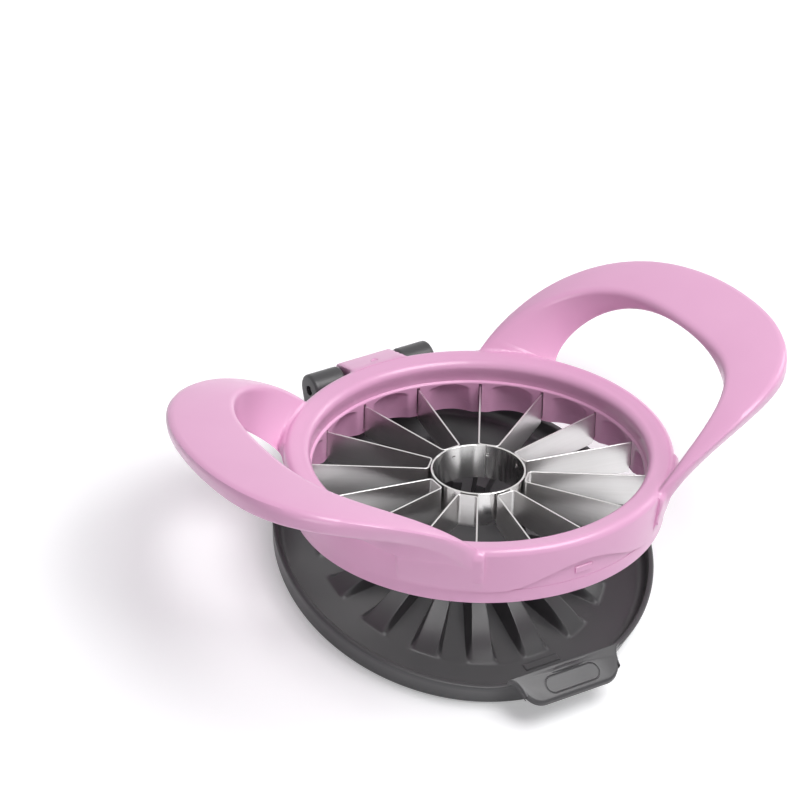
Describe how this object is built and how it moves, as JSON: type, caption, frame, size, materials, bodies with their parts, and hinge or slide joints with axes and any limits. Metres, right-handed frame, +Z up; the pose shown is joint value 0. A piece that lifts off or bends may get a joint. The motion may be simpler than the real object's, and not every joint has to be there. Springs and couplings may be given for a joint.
{
  "type": "apple slicer and corer with a hinged base",
  "caption": "Round apple slicer and corer with loop handles, folded steel blades and a hinged dark base that pushes the wedges through.",
  "frame": {"origin": "centre of the base tray's flat underside", "axes": "+X along the line through both handles, to the right seen from the finger tab; +Y from the finger tab towards the hinge; +Z up"},
  "size_m": [0.1936, 0.1326, 0.0778],
  "materials": {
    "pink_plastic": "glossy moulded plastic",
    "retainer_plastic": "satin moulded plastic",
    "dark_plastic": "finely textured moulded plastic",
    "blade_steel": "rolled stainless strip",
    "core_steel": "polished stainless strip",
    "pin_steel": "drawn steel wire"
  },
  "bodies": {
    "base": {"base": "dark_plastic", "hinge_pin": "pin_steel"},
    "head": {"frame": "pink_plastic", "blade_retainer": "retainer_plastic", "core_ring": "core_steel", "blade_strip_1": "blade_steel", "blade_strip_2": "blade_steel", "blade_strip_3": "blade_steel", "blade_strip_4": "blade_steel", "blade_strip_5": "blade_steel", "blade_strip_6": "blade_steel", "blade_strip_7": "blade_steel", "blade_strip_8": "blade_steel"}
  },
  "joints": [
    {"name": "base_hinge", "type": "hinge", "parent": "base", "child": "head", "pos_m": [0, 0.062, 0.0178], "axis": [-1, 0, 0], "range_deg": [-19, 146]}
  ]
}
